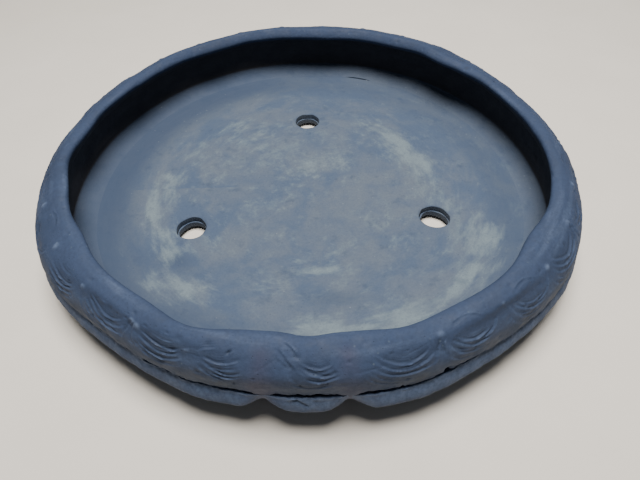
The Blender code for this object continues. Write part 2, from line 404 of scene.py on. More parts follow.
def waves():
    """(direction, kind, scale of depth, slide up) of every wave round the shoulder."""
    rng = np.random.default_rng(27)
    found = [(at, kind, 1.0, 0.0) for at, kind in SEEN_WAVES]
    first = SEEN_WAVES[-1][0]
    gap = (360 - (first - SEEN_WAVES[0][0])) / (OTHER_WAVES + 1)
    kinds = ("ring", "fan", "deep", "left", "ring", "deep", "fan")
    for i in range(1, OTHER_WAVES + 1):
        kind = kinds[i % len(kinds)] if i > 1 else "ring"
        at = first + gap * i + rng.uniform(-0.5, 0.5)
        found.append((at, kind, rng.uniform(0.75, 1.05), rng.uniform(-1.2, 0.8)))
    return found


def carving(theta, v):
    """Relief in mm over the roll, as the tool left it."""
    relief = np.zeros_like(theta)
    knobs = list(KNOBS)
    for number, (centre, kind, scale, slide) in enumerate(waves()):
        for at, height, half_width, half_height, depth in FIELDS[kind]:
            kept = BOWL * depth * scale
            spoon(relief, theta, v, centre + at, height + slide, half_width, half_height, kept)
        for start, middle, end, depth, soft, burr in STROKES[kind]:
            moved = [(a, h + slide) for a, h in (start, middle, end)]
            cut(relief, theta, v, centre, moved, depth * scale, soft, burr * scale, number)
        if number >= len(SEEN_WAVES):
            knobs.append((centre + 6.2, 21.5 + slide, 1.7, 0.6 * scale))
    for at, height, radius, out in knobs:
        far = np.hypot(turn_from(theta, at) * PER_DEGREE, v - height)
        relief += out * bell(far, radius)
    return relief


def marks(theta, v):
    """Small accidents on the shoulder: a comma-shaped pit, nicks, pinholes and scratches. Depths in mm."""
    relief = np.zeros_like(theta)
    u = turn_from(theta, PIT[0]) * PER_DEGREE
    along = 0.8 * u + 0.6 * (v - PIT[1])
    across = -0.6 * u + 0.8 * (v - PIT[1]) - 0.25 * along
    relief -= 1.1 * bell(along, 1.3) * bell(across, 0.6)
    relief += 0.35 * bell(along - 0.5, 1.2) * bell(across + 1.1, 0.5)
    rng = np.random.default_rng(11)
    count = PINHOLES
    places = (rng.uniform(-180, 180, count), rng.uniform(1, 36, count))
    sizes = (rng.gamma(2.0, 0.28, count) + 0.25, rng.uniform(0.2, 0.6, count))
    for at, height, radius, depth in zip(*places, *sizes):
        near = np.abs(turn_from(theta, at)) * PER_DEGREE < 4 * radius
        far = np.hypot(turn_from(theta[near], at) * PER_DEGREE, v[near] - height)
        relief[near] -= depth * bell(far, radius)
    count = BACK_DENTS
    places = (rng.uniform(14, 80, count), rng.uniform(16, 31, count))
    sizes = (rng.uniform(1.0, 2.6, count), rng.uniform(0.3, 0.9, count))
    for at, height, radius, depth in zip(*places, *sizes):
        far = np.hypot(turn_from(theta, at) * PER_DEGREE, v - height)
        relief -= depth * bell(far, radius)
    count = SCRATCHES
    places = (rng.uniform(-180, 180, count), rng.uniform(2, 34, count))
    sizes = (rng.uniform(2, 9, count), rng.normal(0, 0.5, count))
    for at, height, length, lean in zip(*places, *sizes):
        du = turn_from(theta, at) * PER_DEGREE
        dv = v - height
        along = du * math.cos(lean) + dv * math.sin(lean)
        across = dv * math.cos(lean) - du * math.sin(lean)
        relief -= 0.16 * bell(along, length) * bell(across, 0.4)
    return relief


def lumps(x, y, z, strength=1.0):
    """The unevenness that hands and a wooden rib leave, in mm."""
    total = 0.34 * noise(x, y, z, 24, 1) + 0.2 * noise(x, y, z, 11, 2) + 0.1 * noise(x, y, z, 4.6, 3)
    return strength * (total + 0.05 * noise(x, y, z, 2.0, 4))


def round_xyz(theta, r, z):
    return r * np.cos(np.radians(theta)), r * np.sin(np.radians(theta)), z


def normal_of(profile, s, theta):
    """The profile's outward normal as (radial, up), by differences."""
    step = 0.25
    r1, z1 = profile(s - step, theta)
    r2, z2 = profile(s + step, theta)
    length = np.hypot(r2 - r1, z2 - z1) + 1e-9
    return (z2 - z1) / length, (r1 - r2) / length


def ledge_raggedness(theta, s):
    """Crumbling along the ledge over the groove, in mm along the wall's normal."""
    on_ledge = bell(s + 1.4, 1.9) * (1 - bare(theta))
    along = theta * AROUND
    rough = 0.55 * noise(along, s * 1.5, 0, 3.1, 21) + 0.4 * noise(along, s * 2, 0, 1.3, 22)
    total = on_ledge * rough
    off = np.abs(turn_from(theta, BREAK_AT)) * PER_DEGREE
    broken = np.clip(1 - off / (1.3 + 0.25 * (s + 4)), 0, 1)
    total = total - 2.6 * broken * smooth((3.6 - s) / 4) * smooth((s + 6) / 3)
    for at, height, size in CRUMBS:
        total = total + 1.3 * bell(np.hypot(turn_from(theta, at) * PER_DEGREE, s - height), size)
    return total


def outside_surface(s, theta):
    """(x, y, z, relief, carved) of the outer face at s mm along the profile, in mm."""
    r, z = outer_profile(s, theta)
    nr, nz = normal_of(outer_profile, s, theta)
    x, y, _ = round_xyz(theta, r, z)
    up = np.maximum(s, 0)
    shown = smooth((s + 0.5) / 3) * smooth((NOSE_END_S - s) / 6)
    carved = shown * (carving(theta, up) + marks(theta, up))
    right, left = turn_from(theta, STRIPS[0]), turn_from(theta, STRIPS[1] + 0.4)
    strip = (0.3 * bell(right, 1.6) + 0.2 * bell(left, 1.7)) * smooth((s + 4) / 6) * smooth((30 - s) / 8)
    relief = carved + strip + lumps(x, y, z, 0.9) + ledge_raggedness(theta, s)
    foot = smooth(z / 3)
    r = r + nr * relief * foot
    z = z + nz * relief * smooth((z - 0.2) / 3)
    r, z = uneven(theta, r, z, smooth((s - 14) / 18), smooth((s - NOSE_START_S - 1) / 6))
    x, y, z = round_xyz(theta, r, z)
    return x, y, np.maximum(z, 0), relief, carved


def floor_height(x, y):
    """Unevenness of the floor's top, in mm: combed round and round, lightly."""
    r = np.hypot(x, y)
    angle = np.degrees(np.arctan2(y, x))
    total = 0.35 * noise(x, y, 0, 46, 71) + 0.16 * noise(x, y, 0, 19, 72) + 0.07 * noise(x, y, 0, 6, 73)
    combed = 0.10 * noise(r, angle * 0.10, 0, 2.6, 74)
    return total + combed * smooth(r / 30)


def inside_surface(s, theta):
    """(x, y, z, relief) of the inner face from the nose's end down to the floor, in mm."""
    r, z = inner_profile(s, theta)
    nr, nz = normal_of(inner_profile, s, theta)
    nr, nz = -nr, -nz
    x, y, _ = round_xyz(theta, r, z)
    on_floor = smooth((CREASE[1] + 0.8 - z) / 0.8)
    relief = (1 - on_floor) * (lumps(x, y, z, 0.8) + 0.22 * noise(theta * 0.55, s * 1.1, 0, 4.2, 31))
    off = turn_from(theta, INNER_CRACK[0])
    crack = s - float(np.interp(-INNER_CRACK[1], -INNER[:, 1], INNER_S)) - 0.048 * off**2
    cracked = 0.5 * bell(crack - 1.5, 0.8) - bell(crack, 0.7)
    relief = relief + cracked * smooth((5.6 - np.abs(off)) / 2)
    relief = relief * smooth(s / 2)
    r = r + nr * relief
    z = z + nz * relief + on_floor * floor_height(x, y)
    nose = 1 - smooth(s / 9)
    r, z = uneven(theta, r, z, nose, nose)
    x, y, z = round_xyz(theta, r, z)
    return x, y, z, relief


# ---- Meshes ----

OFF_OUTSIDE = -99.0  # stands in for s on rows that aren't on the outside
RING_COLUMNS = 1440
BASE_COLUMNS = 720


def add_object(name, data):
    made = bpy.data.objects.new(name, data)
    bpy.context.scene.collection.objects.link(made)
    return made


def mesh_in_metres(name, points, faces):
    mesh = bpy.data.meshes.new(name)
    mesh.from_pydata((np.asarray(points) * MM).tolist(), [], faces)
    return mesh


def make_piece(name, points, faces, material, layers, sharp=65.0):
    """Builds a piece from points in mm, shape (..., 3), puts it under the root body and hides the CAD node
    of that name.
    """
    mesh = mesh_in_metres(name, points.reshape(-1, 3), faces)
    mesh.update()
    mesh.shade_smooth()
    mesh.set_sharp_from_angle(angle=math.radians(sharp))
    for layer, values in layers.items():
        attribute = mesh.attributes.new(layer, "FLOAT", "POINT")
        spread = np.broadcast_to(values, points.shape[:-1])
        attribute.data.foreach_set("value", spread.astype(np.float32).ravel())
    mesh.materials.append(material)
    piece = add_object(name, mesh)
    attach(piece, "root")
    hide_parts(name)


def quads(columns, rows, closed):
    """Quads between columns of points. Each column closes on itself, and if closed, so do the columns."""
    i = np.arange(columns if closed else columns - 1)[:, None]
    j = np.arange(rows)[None, :]
    after = (i + 1) % columns
    above = (j + 1) % rows
    corners = (i * rows + j, after * rows + j, after * rows + above, i * rows + above)
    return np.stack(corners, -1).reshape(-1, 4).tolist()


def foot_surface(outline, theta):
    """(x, y, z, relief, carved) under the foot, through (radius, height) points."""
    r, z = (np.array(values) + 0 * theta for values in zip(*outline))
    x, y, _ = round_xyz(theta, r, z)
    z = z + np.where(z < 0.5, 0.35 + 0.35 * noise(x, y, 0, 9, 41), 0)
    x, y, z = round_xyz(theta, *uneven(theta, r, z))
    return x, y, z, 0 * x, 0 * x


def ring_piece(name, material, columns, outside_s, inside_s, foot=()):
    """A coil: up its outside, down its inside, then out under its foot, if it has one."""
    theta = np.linspace(-180, 180, columns, endpoint=False)[:, None]
    inner = inside_surface(inside_s + 0 * theta, theta + 0 * inside_s)
    grids = [outside_surface(outside_s + 0 * theta, theta + 0 * outside_s), (*inner, 0 * inner[0])]
    if foot:
        grids.append(foot_surface(foot, theta))
    x, y, z, relief, carved = (np.concatenate(part, axis=1) for part in zip(*grids))
    s = np.concatenate((outside_s, np.full(x.shape[1] - len(outside_s), OFF_OUTSIDE)))[None, :]

    # Painted shade: darker down in the carved grooves and in deep dents.
    cavity_shade = np.clip(-carved / 1.3 - 0.2, 0, 1) + 0.3 * smooth(-relief - 0.6)
    warm = bell(from_notch(theta), 2.6) * smooth((16 - s) / 14) * smooth((s + 30) / 10)
    strip = bell(turn_from(theta, STRIPS[0]), 1.4) + 0.7 * bell(turn_from(theta, STRIPS[1]), 1.6)
    warm = warm + 0.6 * strip * smooth((31 - s) / 10) * (s > -30)
    earthy = bell(s - 2.5, 4.5) * (0.6 + 0.4 * noise(theta * 2.7, s, 0, 14, 51))
    within = (s == OFF_OUTSIDE) * (np.hypot(x, y) > FLOOR - 6)
    _, blue = floor_paint(x, y)
    layers = {
        "cavity_shade": np.clip(cavity_shade, 0, 1),
        # Painted highlight: lighter on the crests of the burrs that the carving threw up.
        "crest": np.clip((carved - 0.08) / 0.45, 0, 1),
        "warm": np.clip(warm, 0, 1),
        "earthy": np.clip(earthy, 0, 1),
        # Painted light: the outside is made lighter from the roll down, in place of a fill light.
        "pale": 0.22 * smooth((19 - s) / 12) * (s > OFF_OUTSIDE),
        # Painted shade: the inside wall, from the crease up to under the lip, is darkened where the lip's
        # overhang shades it.
        "inner_wall_shade": within * smooth((z - 17.4) / 1.4) * smooth((47.5 - z) / 2.0),
        "cove": within * smooth((19.4 - z) / 1.2) * (z > FLOOR_TOP - 2.5),
        "blue": blue * within,
    }
    make_piece(name, np.stack((x, y, z), -1), quads(columns, x.shape[1], True), material, layers)


# ---- The skirt ----

# A lobe's section up its outside: (height as a share of the whole, mm over the wall)
SECTION = (
    (0.02, 0.6), (-0.02, 2.6), (0.02, 4.6), (0.1, 6.2), (0.22, 7.3), (0.36, 7.85), (0.5, 7.75), (0.63, 6.8),
    (0.75, 5.6), (0.85, 4.3), (0.93, 3.2), (0.975, 2.4), (0.96, 1.8), (0.88, 1.2), (0.76, 0.4),
)
SKIRT_STEP = 0.75  # mm between columns
SKIRT_TUCK = 0.3  # share of the wall's tuck that the skirt follows
LIFT_FRONT = 1.9  # the front lobe's top rises this far over the CAD part's
LIFT_BAND = 1.15


def rounded(points, steps):
    """Points on a smooth curve through the given ones."""
    p = np.array(points, float)
    p = np.vstack((2 * p[0] - p[1], p, 2 * p[-1] - p[-2]))
    found = []
    for a, b, c, d in zip(p, p[1:], p[2:], p[3:]):
        for t in np.arange(steps) / steps:
            bend = (2 * a - 5 * b + 4 * c - d) * t**2 + (3 * b - a - 3 * c + d) * t**3
            found.append(0.5 * (2 * b + (c - a) * t + bend))
    found.append(p[-2])
    return np.array(found)


def folded_edge(theta, share_up, thick):
    """Relief of the slanting crack that the front lobe's folded upper edge leaves."""
    u = turn_from(theta, LOBE_CRACK) * PER_DEGREE
    crack = (share_up - 0.84) * 12 + 0.42 * u
    near = (thick > 1) * smooth((4.5 - np.abs(u - 0.5)) / 2)
    return near * (0.4 * bell(crack - 1.2, 0.8) - bell(crack, 0.55))


def skirt_piece(name, start, end, material, lift):
    """One lobe. At both tips it rises and lies flush with the bare strip of the wall."""
    columns = max(60, round((end - start) * PER_DEGREE / SKIRT_STEP))
    theta = np.linspace(start, end, columns)[:, None]
    along = theta * AROUND
    section = rounded(SECTION, 3)
    back = np.linspace(0.70, 0.1, 7)
    share_up = np.concatenate((section[:, 0], back))[None, :]
    thick = np.concatenate((section[:, 1], np.full(len(back), -0.5)))[None, :]

    from_tip = np.minimum(theta - start, end - theta) + 0.25 * noise(along, 0, 0, 6, 60)
    reached = np.clip(from_tip / TIP_REACH, 0, 1)
    taper = 1 - (1 - np.clip(1.3 * reached**2 / (reached + 0.3), 0, 1)) ** 2.1
    wander = 0.45 * noise(along, 0, 0, 13, 61) + 0.25 * noise(along, 0, 0, 5, 62)
    low = TIP_BOTTOM + (SKIRT_BOTTOM - TIP_BOTTOM) * taper + wander * 0.8
    top = SKIRT_TOP + lift + 0.45 * noise(along, 7, 0, 6, 63) + 0.3 * noise(along, 7, 0, 2.2, 64)
    z = low + (top - low) * share_up

    belly = 1 + 0.05 * noise(along, 3, 0, 16, 65) + 0.03 * noise(along, 3, 0, 7, 66)
    lobed = WALL + np.interp(z, *zip(*FACE_LOBED))
    tuck = tucked(theta)
    flush = WALL + np.interp(z, *zip(*FACE_BARE)) - tuck + 0.12
    lobe = lobed + thick * belly - tuck * SKIRT_TUCK
    front = np.where(thick > 1.5, flush + (lobe - flush) * taper, lobe - 2 * (1 - taper))
    r = np.where(thick > 0, front, lobed - tuck - 0.5)

    x, y, _ = round_xyz(theta, r, z)
    rough = lumps(x, y, z, 0.75) + 0.14 * noise(x, y, z, 1.6, 67)
    rough = rough + smooth((share_up - 0.78) / 0.2) * (thick > 0) * 0.5 * noise(x, y, z, 1.9, 68)
    if name == "skirt_lobe_front":
        rough = rough + folded_edge(theta, share_up, thick)
    rough = np.where(thick > 0, rough, 0) * (0.2 + 0.8 * taper)
    r = np.minimum(r + rough, SKIRT + 1.4)
    points = np.stack(round_xyz(theta, *uneven(theta, r, z)), -1)

    rows = points.shape[1]
    faces = quads(columns, rows, False)
    faces.append(list(range(rows)))
    faces.append([(columns - 1) * rows + k for k in reversed(range(rows))])
    # Painted highlight: the lobe's upper outer edge is made lighter.
    edge = smooth((share_up - 0.86) / 0.1) * bell(thick - 2.4, 1.6)
    layers = {
        # Painted shade: darker at the lobe's top where it tucks under the ledge into the groove, and in its
        # dents.
        "cavity_shade": smooth((share_up - 0.9) / 0.1) * (thick < 1.2) + 0.4 * smooth(-rough - 0.2),
        "crest": np.clip(edge * (0.75 + 0.4 * noise(along, 5, 0, 7, 69)), 0, 1),
        "warm": bell(from_notch(theta), 2.4),
        "earthy": 0.25 * smooth((0.35 - share_up) / 0.3),
        # Painted light: the lobe is lighter towards its top, where the light from above falls.
        "pale": 0.2 + 0.6 * smooth((share_up - 0.3) / 0.5),
    }
    make_piece(name, points, faces, material, layers)


# ---- The floor ----

FLOOR_SHARP = 50.0  # degrees from which an edge shows


def hole_centre(number):
    direction, distance = HOLES[number]
    return distance * math.cos(math.radians(direction)), distance * math.sin(math.radians(direction))


def hole_edge(angle, number, size, seed):
    """Radius of a drain hole in a direction, ragged."""
    a, b = np.cos(angle) * 6, np.sin(angle) * 6
    return size + 0.5 * noise(a, b, number * 7, 3.2, seed) + 0.12 * noise(a, b, number * 7, 1.4, seed + 1)


def hole_cutter(number, low, high, flare, size, seed):
    """The ragged plug that a drain hole was cut with. flare widens it from bottom to top."""
    around, up = 72, len(flare)
    angle = np.linspace(0, math.tau, around, endpoint=False)
    points, faces = [], []
    for height, wider in zip(np.linspace(low, high, up), flare):
        r = hole_edge(angle, number, size, seed) + wider
        points += list(zip(r * np.cos(angle), r * np.sin(angle), np.full(around, height)))
    for k in range(up - 1):
        for i in range(around):
            j = (i + 1) % around
            faces.append((k * around + i, k * around + j, (k + 1) * around + j, (k + 1) * around + i))
    faces.append(tuple(reversed(range(around))))
    faces.append(tuple((up - 1) * around + i for i in range(around)))
    shifted = np.array(points) + (*hole_centre(number), 0)
    return add_object("plug", mesh_in_metres("plug", shifted, faces))


def blank_slab(low, high, spacing, columns):
    """(points in mm, faces) of a round slab, as rings of quads with a fan in the middle."""
    radii = np.append(np.arange(spacing, FLOOR - spacing * 0.6, spacing), FLOOR)
    angle = np.linspace(0, math.tau, columns, endpoint=False)
    flat = (radii[:, None, None] * np.stack((np.cos(angle), np.sin(angle)), -1)).reshape(-1, 2)
    count = len(flat)
    upper, lower = (np.c_[flat, np.full(count, height)] for height in (high, low))
    points = np.vstack((upper, lower, (0, 0, high), (0, 0, low)))
    i = np.arange(len(radii) - 1)[:, None] * columns
    j = np.arange(columns)[None, :]
    k = (j + 1) % columns
    top = np.stack((i + j, i + columns + j, i + columns + k, i + k), -1).reshape(-1, 4)
    last = (len(radii) - 1) * columns
    side = np.stack((last + j, count + last + j, count + last + k, last + k), -1).reshape(-1, 4)
    faces = np.vstack((top, top[:, ::-1] + count, side)).tolist()
    for a in range(columns):
        b = (a + 1) % columns
        faces.append((2 * count, a, b))
        faces.append((2 * count + 1, count + b, count + a))
    return points, faces


def slab(low, high, spacing, columns, flare, size, seed, slip):
    """(points in mm, faces) of a round slab with the drain holes cut through it. It is still flat."""
    blank = add_object("slab", mesh_in_metres("slab", *blank_slab(low, high, spacing, columns)))
    plugs = []
    for number in range(len(HOLES)):
        plug = hole_cutter(number, low - 1.5, high + 1.5, flare, size, seed)
        plug.location.y = slip * MM
        plugs.append(plug)
        boolean = blank.modifiers.new(f"hole_{number}", "BOOLEAN")
        boolean.operation = "DIFFERENCE"
        boolean.solver = "EXACT"
        boolean.object = plug
    graph = bpy.context.evaluated_depsgraph_get()
    done = bpy.data.meshes.new_from_object(blank.evaluated_get(graph))
    places = np.zeros(len(done.vertices) * 3)
    done.vertices.foreach_get("co", places)
    found = [tuple(polygon.vertices) for polygon in done.polygons]
    for old in (blank, *plugs):
        bpy.data.objects.remove(old, do_unlink=True)
    bpy.data.meshes.remove(done)
    return places.reshape(-1, 3) / MM, found


def settled(x, y, z):
    """Points of the true-round floor, moved to where they are on the real pot."""
    theta = np.degrees(np.arctan2(y, x))
    return np.stack(round_xyz(theta, *uneven(theta, np.hypot(x, y), z)), -1)


def upper_floor(material):
    flare = (0.0, -0.1, 0.0, 0.1, 0.5)
    points, faces = slab(LAYER_JOINT, FLOOR_TOP, 1.6, 480, flare, HOLE + 0.1, 91, 0.0)
    x, y, z = points.T
    pale, blue = floor_paint(x, y)
    lift = floor_height(x, y) + dish(np.hypot(x, y))
    near_hole = np.zeros_like(x)
    for number in range(len(HOLES)):
        centre = hole_centre(number)
        past = np.hypot(x - centre[0], y - centre[1]) - HOLE
        lift = lift - 0.35 * bell(past, 1.0) + 0.2 * bell(past - 3.0, 1.6)
        near_hole = np.maximum(near_hole, 1 - smooth((past - 0.2) / 0.7))
    z = z + lift * smooth((z - LAYER_JOINT) / (FLOOR_TOP - LAYER_JOINT))
    # Painted shade: the floor is darkened at the rims of the drain holes.
    layers = {"pale": pale * (1 - near_hole), "blue": blue, "cavity_shade": 0.3 * near_hole}
    make_piece("floor_upper_layer", settled(x, y, z), faces, material, layers, FLOOR_SHARP)


def lower_floor(material):
    flare = (1.2, 0.2, 0.0, 0.0, 0.0)
    points, faces = slab(FLOOR_UNDERSIDE, LAYER_JOINT, 3.0, 240, flare, HOLE - 0.4, 95, -0.35)
    x, y, z = points.T
    under = smooth((LAYER_JOINT - z) / (LAYER_JOINT - FLOOR_UNDERSIDE))
    z = z + under * (0.4 * noise(x, y, 0, 30, 96) + 0.2 * noise(x, y, 0, 9, 97))
    layers = {"pale": 0.25 * under, "warm": 0.3 * under, "earthy": 0.4 * under}
    make_piece("floor_lower_layer", settled(x, y, z), faces, material, layers, FLOOR_SHARP)


# ---- What a wet cloth left on the floor ----

# Arcs of dust and lime: (strength, radius, width, from, to, fade)
DUST_ARCS = (
    (0.95, 100, 9, -190, -141, 16), (0.3, 125, 6, -160, -128, 12), (0.9, 117, 10.5, -96, -22, 16),
    (0.55, 78, 11, -8, 62, 26), (0.4, 104, 13, -42, 4, 20), (0.25, 92, 8, 118, 160, 20),
)
# Dabs: (strength, place, half length, half width, lean)
DUST_DABS = (
    (0.55, (15, -76), 22, 4, 3), (0.35, (42, 112), 9, 4, -20),
    *((0.26, at, 20, 13, 20) for at in ((-27, -17), (-23, 40), (-45, 54), (8, 22), (40, -45))),
)
STOPPED_DAB = (0.8, (-72, -86), 24, 8, -24)  # this one ends short, at x = STOP
STOP = -49
BLUE_DABS = ((0.7, (-80, -64), 13, 7, -30), (0.45, (13, -96), 17, 6, 0))


def arc(x, y, strength, radius, width, start, end, fade):
    middle, half = (start + end) / 2, (end - start) / 2
    off = np.abs(turn_from(np.degrees(np.arctan2(y, x)), middle))
    return strength * bell(np.hypot(x, y) - radius, width) * smooth((half + fade / 2 - off) / fade)


def dab(x, y, strength, at, half_length, half_width, lean):
    a = math.radians(lean)
    u = (x - at[0]) * math.cos(a) + (y - at[1]) * math.sin(a)
    w = (y - at[1]) * math.cos(a) - (x - at[0]) * math.sin(a)
    return strength * bell(u, half_length) * bell(w, half_width)


def floor_paint(x, y):
    """(pale, bare blue) of the floor: dust and lime that were left, and clay that was wiped clean."""
    r = np.hypot(x, y)
    angle = np.degrees(np.arctan2(y, x))
    broken = 0.65 + 0.35 * noise(x, y, 0, 22, 81) + 0.25 * noise(r, angle * 0.22, 0, 5, 82)
    broken = broken + 0.2 * noise(x, y, 0, 7, 83)
    pale = dab(x, y, *STOPPED_DAB) * smooth((STOP - x) / 3 + 0.5)
    pale = pale + sum(arc(x, y, *wiped) for wiped in DUST_ARCS)
    pale = pale + sum(dab(x, y, *left) for left in DUST_DABS)
    middle = 0.22 * smooth((112 - r) / 30)
    side = 0.55 + 0.4 * smooth((100 - np.abs(turn_from(angle, 170))) / 60)
    blue = side * smooth((r - 106) / 24) * (1 - 0.8 * np.clip(pale, 0, 1))
    blue = blue + sum(dab(x, y, *clean) for clean in BLUE_DABS)
    return np.clip((pale + middle) * broken, 0, 1), np.clip(blue, 0, 1)


# ---- Materials ----

SLATE = (0.031, 0.048, 0.094)
SLATE_DEEP = (0.021, 0.032, 0.062)
SLATE_DARK = (0.014, 0.019, 0.028)
SLATE_LIGHT = (0.105, 0.142, 0.225)
SPECK = (0.02, 0.025, 0.035)
EARTH = (0.050, 0.054, 0.055)
MAUVE = (0.052, 0.038, 0.058)
# Colour of the painted shade on the inside wall
INNER_WALL_SHADE = (0.030, 0.025, 0.020)
DUST = (0.160, 0.200, 0.215)
CHALK = (0.280, 0.310, 0.325)
FLOOR_CLAY = (0.062, 0.087, 0.136)
FLOOR_WARM = (0.098, 0.118, 0.148)
FLOOR_BLUE = (0.037, 0.054, 0.092)
GROUND = ((0.62, 0.57, 0.50), (0.68, 0.63, 0.56))


class Nodes:
    """Short calls for building one material's nodes. Sizes are in millimetres."""

    def __init__(self, name):
        self.material = bpy.data.materials.new(name)
        self.material.use_nodes = True
        self.tree = self.material.node_tree
        self.shader = self.tree.nodes["Principled BSDF"]
        self.place = self.add("ShaderNodeNewGeometry").outputs["Position"]

    def add(self, kind, **settings):
        node = self.tree.nodes.new(kind)
        for key, value in settings.items():
            setattr(node, key, value)
        return node

    def link(self, value, socket):
        """Feeds a socket with another socket, a number or a colour."""
        if isinstance(value, (int, float)):
            socket.default_value = value
        elif isinstance(value, tuple):
            socket.default_value = (*value, 1.0)
        else:
            self.tree.links.new(value, socket)

    def maths(self, operation, *values):
        node = self.add("ShaderNodeMath", operation=operation)
        for value, socket in zip(values, node.inputs):
            self.link(value, socket)
        return node.outputs[0]

    def times(self, a, b):
        return self.maths("MULTIPLY", a, b)

    def less(self, a, b):
        return self.maths("SUBTRACT", a, b)

    def noise(self, size, detail=4.0, roughness=0.55, place=None, distortion=0.0):
        """Noise from 0 to 1."""
        node = self.add("ShaderNodeTexNoise")
        self.link(self.place if place is None else place, node.inputs["Vector"])
        node.inputs["Scale"].default_value = 1 / (size * MM)
        node.inputs["Detail"].default_value = detail
        node.inputs["Roughness"].default_value = roughness
        node.inputs["Distortion"].default_value = distortion
        return node.outputs["Fac"]

    def spots(self, spacing, reach):
        """Sparse round spots: 1 in a spot, 0 outside. reach is a share of the spacing."""
        node = self.add("ShaderNodeTexVoronoi")
        self.link(self.place, node.inputs["Vector"])
        node.inputs["Scale"].default_value = 1 / (spacing * MM)
        return self.remap(node.outputs["Distance"], reach, 0.0)

    def remap(self, value, low, high, to_low=0.0, to_high=1.0):
        node = self.add("ShaderNodeMapRange", interpolation_type="SMOOTHSTEP")
        for item, socket in zip((value, low, high, to_low, to_high), node.inputs):
            self.link(item, socket)
        return node.outputs[0]

    def attribute(self, name):
        return self.add("ShaderNodeAttribute", attribute_name=name).outputs["Fac"]

    def mix(self, share, a, b):
        node = self.add("ShaderNodeMix", data_type="RGBA")
        self.link(share, node.inputs[0])
        self.link(a, node.inputs[6])
        self.link(b, node.inputs[7])
        return node.outputs[2]

    def bump(self, height, strength, depth, normal=None):
        node = self.add("ShaderNodeBump")
        node.inputs["Strength"].default_value = strength
        node.inputs["Distance"].default_value = depth * MM
        self.link(height, node.inputs["Height"])
        if normal is not None:
            self.link(normal, node.inputs["Normal"])
        return node.outputs["Normal"]

    def split(self):
        node = self.add("ShaderNodeSeparateXYZ")
        self.link(self.place, node.inputs[0])
        return node.outputs

    def radius(self):
        """Distance from the pot's axis, in metres."""
        x, y, _ = self.split()
        return self.maths("SQRT", self.maths("ADD", self.times(x, x), self.times(y, y)))

    def polar(self, around):
        """The place as (radius, direction, height), for brush strokes that run round the pot."""
        x, y, z = self.split()
        join = self.add("ShaderNodeCombineXYZ")
        parts = (self.radius(), self.times(self.maths("ARCTAN2", y, x), around), z)
        for part, socket in zip(parts, join.inputs):
            self.link(part, socket)
        return join.outputs[0]

    def brushed(self, size, detail, roughness, around):
        """Noise whose lumps are drawn out round the pot, except near the centre."""
        plain = self.noise(size, detail, roughness, distortion=0.3)
        drawn = self.noise(size, detail, roughness, self.polar(around), 0.3)
        away = self.remap(self.radius(), 0.02, 0.07)
        return self.maths("ADD", plain, self.times(away, self.less(drawn, plain)))

    def finish(self, colour, roughness, specular, normal):
        self.link(colour, self.shader.inputs["Base Color"])
        self.link(roughness, self.shader.inputs["Roughness"])
        self.link(specular, self.shader.inputs["Specular IOR Level"])
        self.link(normal, self.shader.inputs["Normal"])
        return self.material


def floor_colour(n):
    """(colour, brush strokes) of the inside of the pot."""
    strokes = n.brushed(3.0, 6, 0.62, 0.03)
    cloud = n.brushed(22, 6, 0.62, 0.06)
    mottle = n.brushed(7, 6, 0.68, 0.05)
    blue = n.attribute("blue")
    colour = n.mix(n.remap(cloud, 0.32, 0.68), FLOOR_CLAY, FLOOR_WARM)
    colour = n.mix(n.times(blue, 0.9), colour, FLOOR_BLUE)
    ragged = n.attribute("pale")
    for pattern, strength in ((strokes, 0.9), (mottle, 0.8)):
        ragged = n.maths("ADD", ragged, n.times(n.less(pattern, 0.5), strength))
    ragged = n.times(ragged, n.remap(n.attribute("pale"), 0.0, 0.12))
    colour = n.mix(n.times(n.remap(ragged, 0.15, 0.78), 0.80), colour, DUST)
    worn = n.times(n.remap(mottle, 0.52, 0.75), n.less(1.0, blue))
    colour = n.mix(n.times(worn, 0.30), colour, DUST)
    colour = n.mix(n.remap(n.noise(9, 5, 0.6), 0.55, 0.75, 0.0, 0.45), colour, FLOOR_BLUE)
    colour = n.mix(n.times(n.spots(4.0, 0.12), 0.5), colour, SLATE_DARK)
    flecks = n.times(n.spots(6.5, 0.10), n.remap(cloud, 0.45, 0.6))
    colour = n.mix(n.times(flecks, 0.4), colour, CHALK)
    colour = n.mix(n.remap(n.noise(1.2, 6, 0.7), 0.35, 0.75, 0.0, 0.30), colour, FLOOR_BLUE)
    return colour, strokes


